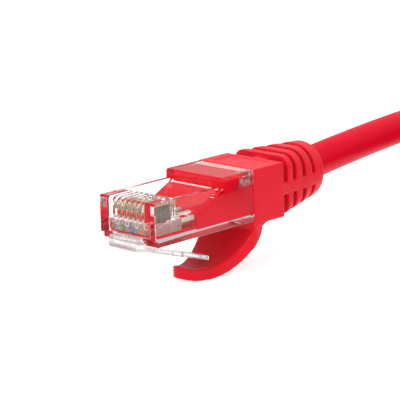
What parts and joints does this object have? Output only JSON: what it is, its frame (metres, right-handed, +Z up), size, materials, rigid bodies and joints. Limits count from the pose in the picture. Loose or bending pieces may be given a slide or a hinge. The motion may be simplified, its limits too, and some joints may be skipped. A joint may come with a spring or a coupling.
{
  "type": "ethernet patch cable",
  "caption": "Network patch cable with clear modular plugs, snagless boots with thumb hooks over spring latches, and a tied coil of round cord.",
  "frame": {"origin": "on the surface the cable stands on, below the middle of the near plug and boot", "axes": "+X from the near plug's nose along its cord, +Z up with the contacts up and the latch down, +Y towards pin 8"},
  "size_m": [0.1433, 0.0741, 0.0174],
  "materials": {
    "clear_polycarbonate": "clear, glossy, moulded",
    "boot_red": "soft satin PVC",
    "mould_red": "soft satin PVC",
    "cord_red": "satin PVC sheath",
    "tie_white": "satin",
    "contact_gold": "gold plated",
    "wire_white_orange": "polyethylene",
    "wire_orange": "polyethylene",
    "wire_white_green": "polyethylene",
    "wire_blue": "polyethylene",
    "wire_white_blue": "polyethylene",
    "wire_green": "polyethylene",
    "wire_white_brown": "polyethylene",
    "wire_brown": "polyethylene"
  },
  "bodies": {
    "cable": {"near_housing": "clear_polycarbonate", "near_load_bar": "clear_polycarbonate", "near_inner_mould": "mould_red", "near_strain_bar": "clear_polycarbonate", "near_boot": "boot_red", "near_contact_1": "contact_gold", "near_contact_2": "contact_gold", "near_contact_3": "contact_gold", "near_contact_4": "contact_gold", "near_contact_5": "contact_gold", "near_contact_6": "contact_gold", "near_contact_7": "contact_gold", "near_contact_8": "contact_gold", "near_wire_1": "wire_white_orange", "near_wire_2": "wire_orange", "near_wire_3": "wire_white_green", "near_wire_4": "wire_blue", "near_wire_5": "wire_white_blue", "near_wire_6": "wire_green", "near_wire_7": "wire_white_brown", "near_wire_8": "wire_brown", "far_housing": "clear_polycarbonate", "far_load_bar": "clear_polycarbonate", "far_inner_mould": "mould_red", "far_strain_bar": "clear_polycarbonate", "far_boot": "boot_red", "far_contact_1": "contact_gold", "far_contact_2": "contact_gold", "far_contact_3": "contact_gold", "far_contact_4": "contact_gold", "far_contact_5": "contact_gold", "far_contact_6": "contact_gold", "far_contact_7": "contact_gold", "far_contact_8": "contact_gold", "far_wire_1": "wire_white_orange", "far_wire_2": "wire_orange", "far_wire_3": "wire_white_green", "far_wire_4": "wire_blue", "far_wire_5": "wire_white_blue", "far_wire_6": "wire_green", "far_wire_7": "wire_white_brown", "far_wire_8": "wire_brown", "cable_lead": "cord_red", "cable_coil": "cord_red", "cable_tail": "cord_red", "coil_ties": "tie_white"},
    "near_hook": {"near_hook": "boot_red"},
    "near_latch": {"near_latch": "clear_polycarbonate"},
    "far_hook": {"far_hook": "boot_red"},
    "far_latch": {"far_latch": "clear_polycarbonate"}
  },
  "joints": [
    {"name": "near_hook_flex", "type": "hinge", "parent": "cable", "child": "near_hook", "pos_m": [0.0037, 0, 0.0077], "axis": [0, 1, 0], "range_deg": [0, 12], "stiffness_Nm_per_rad": 0.08},
    {"name": "near_latch_flex", "type": "hinge", "parent": "cable", "child": "near_latch", "pos_m": [-0.01855, 0, 0.0088], "axis": [0, -1, 0], "range_deg": [0, 9], "stiffness_Nm_per_rad": 0.1},
    {"name": "far_hook_flex", "type": "hinge", "parent": "cable", "child": "far_hook", "pos_m": [0.0448, -0.0484, 0.0077], "axis": [0, 1, 0], "range_deg": [0, 12], "stiffness_Nm_per_rad": 0.08},
    {"name": "far_latch_flex", "type": "hinge", "parent": "cable", "child": "far_latch", "pos_m": [0.02255, -0.0484, 0.0088], "axis": [0, -1, 0], "range_deg": [0, 9], "stiffness_Nm_per_rad": 0.1}
  ],
  "couplings": [
    {"joint": "near_latch_flex", "follows": "near_hook_flex", "ratio": 0.7},
    {"joint": "far_latch_flex", "follows": "far_hook_flex", "ratio": 0.7}
  ]
}
